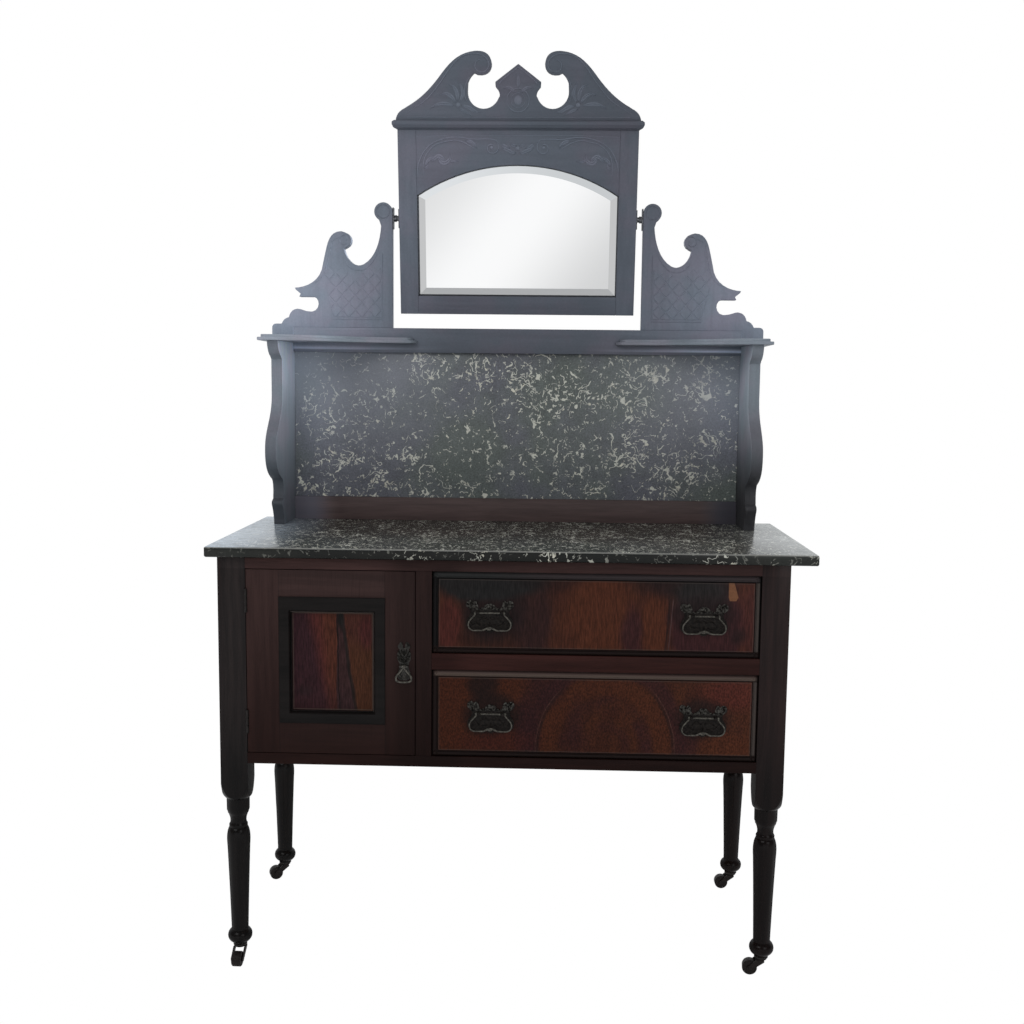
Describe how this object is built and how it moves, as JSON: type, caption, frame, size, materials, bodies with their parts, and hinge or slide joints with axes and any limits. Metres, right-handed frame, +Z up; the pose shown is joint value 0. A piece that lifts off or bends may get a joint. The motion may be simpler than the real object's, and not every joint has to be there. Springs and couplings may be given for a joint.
{
  "type": "washstand",
  "caption": "Wooden washstand on turned legs with castors, with a cupboard, drawers, a marble top, a marble splashback with winged sides and shelves, and a tilting mirror with a scrolled crest.",
  "frame": {"origin": "on the floor, under the middle of the overall width and depth", "axes": "+X to the right as seen from the front, +Y towards the back, +Z up"},
  "size_m": [1.067, 0.4788, 1.7183],
  "materials": {
    "dark_wood": "dark stained and polished",
    "black_wood": "black stained and polished",
    "veneered_wood": "figured veneer, polished",
    "plain_wood": "plain sawn",
    "marble": "polished, dark green grey with pale veins",
    "old_brass": "dark patina",
    "dark_iron": "dark",
    "mirror_glass": "silvered"
  },
  "bodies": {
    "case": {"post_front_left": "black_wood", "post_front_right": "black_wood", "post_back_left": "black_wood", "post_back_right": "black_wood", "side_panels": "dark_wood", "top_rail": "dark_wood", "drawer_rail": "dark_wood", "bottom_rail": "dark_wood", "muntin": "dark_wood", "partition": "plain_wood", "case_bottom": "plain_wood", "back_board": "plain_wood", "back_rail": "dark_wood", "drawer_runners": "plain_wood", "marble_top": "marble", "wing_left": "dark_wood", "wing_right": "dark_wood", "splash_bottom_rail": "dark_wood", "splash_top_rail": "dark_wood", "splash_marble": "marble", "gallery_back": "plain_wood", "shelves": "dark_wood", "upright_left": "dark_wood", "upright_right": "dark_wood", "pivot_brackets": "old_brass", "castor_sockets": "old_brass", "hinge_leaves_fixed": "old_brass", "back_plates": "dark_iron"},
    "mirror": {"mirror_stiles": "dark_wood", "mirror_bottom_rail": "dark_wood", "mirror_head": "dark_wood", "mirror_cornice": "dark_wood", "mirror_crest": "dark_wood", "mirror_glass": "mirror_glass", "mirror_back": "plain_wood", "mirror_pivots": "old_brass"},
    "door": {"door_frame": "dark_wood", "door_moulding": "black_wood", "door_panel": "veneered_wood", "hinge_leaves_moving": "old_brass", "pull_plate": "old_brass"},
    "door_ring": {"ring_pull": "old_brass"},
    "drawer_upper": {"drawer_upper_front": "veneered_wood", "drawer_upper_tray": "plain_wood", "drawer_upper_plates": "old_brass"},
    "drawer_lower": {"drawer_lower_front": "veneered_wood", "drawer_lower_tray": "plain_wood", "drawer_lower_plates": "old_brass"},
    "handle_upper_left": {"bail_upper_left": "old_brass"},
    "handle_upper_right": {"bail_upper_right": "old_brass"},
    "handle_lower_left": {"bail_lower_left": "old_brass"},
    "handle_lower_right": {"bail_lower_right": "old_brass"},
    "castor_fl": {"castor_fork_fl": "dark_iron"},
    "wheel_fl": {"castor_wheel_fl": "dark_iron"},
    "castor_fr": {"castor_fork_fr": "dark_iron"},
    "wheel_fr": {"castor_wheel_fr": "dark_iron"},
    "castor_bl": {"castor_fork_bl": "dark_iron"},
    "wheel_bl": {"castor_wheel_bl": "dark_iron"},
    "castor_br": {"castor_fork_br": "dark_iron"},
    "wheel_br": {"castor_wheel_br": "dark_iron"}
  },
  "joints": [
    {"name": "door_hinge", "type": "hinge", "parent": "case", "child": "door", "pos_m": [-0.4664, -0.22025, 0.572], "axis": [0, 0, -1], "range_deg": [0, 120]},
    {"name": "door_ring_pivot", "type": "hinge", "parent": "door", "child": "door_ring", "pos_m": [-0.1847, -0.22745, 0.5692], "axis": [-1, 0, 0], "range_deg": [0, 150]},
    {"name": "drawer_upper_slide", "type": "slide", "parent": "case", "child": "drawer_upper", "axis": [0, -1, 0], "range_m": [0, 0.3]},
    {"name": "drawer_lower_slide", "type": "slide", "parent": "case", "child": "drawer_lower", "axis": [0, -1, 0], "range_m": [0, 0.3]},
    {"name": "mirror_tilt", "type": "hinge", "parent": "case", "child": "mirror", "pos_m": [-0.0045, 0.19855, 1.3995], "axis": [1, 0, 0], "range_deg": [-35, 25]},
    {"name": "handle_upper_left_pivot", "type": "hinge", "parent": "drawer_upper", "child": "handle_upper_left", "pos_m": [-0.0333, -0.23045, 0.6685], "axis": [-1, 0, 0], "range_deg": [0, 150]},
    {"name": "handle_upper_right_pivot", "type": "hinge", "parent": "drawer_upper", "child": "handle_upper_right", "pos_m": [0.3413, -0.23045, 0.6685], "axis": [-1, 0, 0], "range_deg": [0, 150]},
    {"name": "handle_lower_left_pivot", "type": "hinge", "parent": "drawer_lower", "child": "handle_lower_left", "pos_m": [-0.0303, -0.23045, 0.487], "axis": [-1, 0, 0], "range_deg": [0, 150]},
    {"name": "handle_lower_right_pivot", "type": "hinge", "parent": "drawer_lower", "child": "handle_lower_right", "pos_m": [0.3443, -0.23045, 0.487], "axis": [-1, 0, 0], "range_deg": [0, 150]},
    {"name": "castor_fl_swivel", "type": "hinge", "parent": "case", "child": "castor_fl", "pos_m": [-0.4915, -0.19495, 0.045], "axis": [0, 0, 1], "continuous": true},
    {"name": "wheel_fl_spin", "type": "hinge", "parent": "castor_fl", "child": "wheel_fl", "pos_m": [-0.4922, -0.21494, 0.0135], "axis": [0.9994, -0.0349, 0], "continuous": true},
    {"name": "castor_fr_swivel", "type": "hinge", "parent": "case", "child": "castor_fr", "pos_m": [0.4655, -0.19495, 0.045], "axis": [0, 0, 1], "continuous": true},
    {"name": "wheel_fr_spin", "type": "hinge", "parent": "castor_fr", "child": "wheel_fr", "pos_m": [0.4457, -0.19217, 0.0135], "axis": [-0.1392, -0.9903, 0], "continuous": true},
    {"name": "castor_bl_swivel", "type": "hinge", "parent": "case", "child": "castor_bl", "pos_m": [-0.4915, 0.17805, 0.045], "axis": [0, 0, 1], "continuous": true},
    {"name": "wheel_bl_spin", "type": "hinge", "parent": "castor_bl", "child": "wheel_bl", "pos_m": [-0.50977, 0.16992, 0.0135], "axis": [0.4067, -0.9135, 0], "continuous": true},
    {"name": "castor_br_swivel", "type": "hinge", "parent": "case", "child": "castor_br", "pos_m": [0.4655, 0.17805, 0.045], "axis": [0, 0, 1], "continuous": true},
    {"name": "wheel_br_spin", "type": "hinge", "parent": "castor_br", "child": "wheel_br", "pos_m": [0.4455, 0.17805, 0.0135], "axis": [0, -1, 0], "continuous": true}
  ]
}
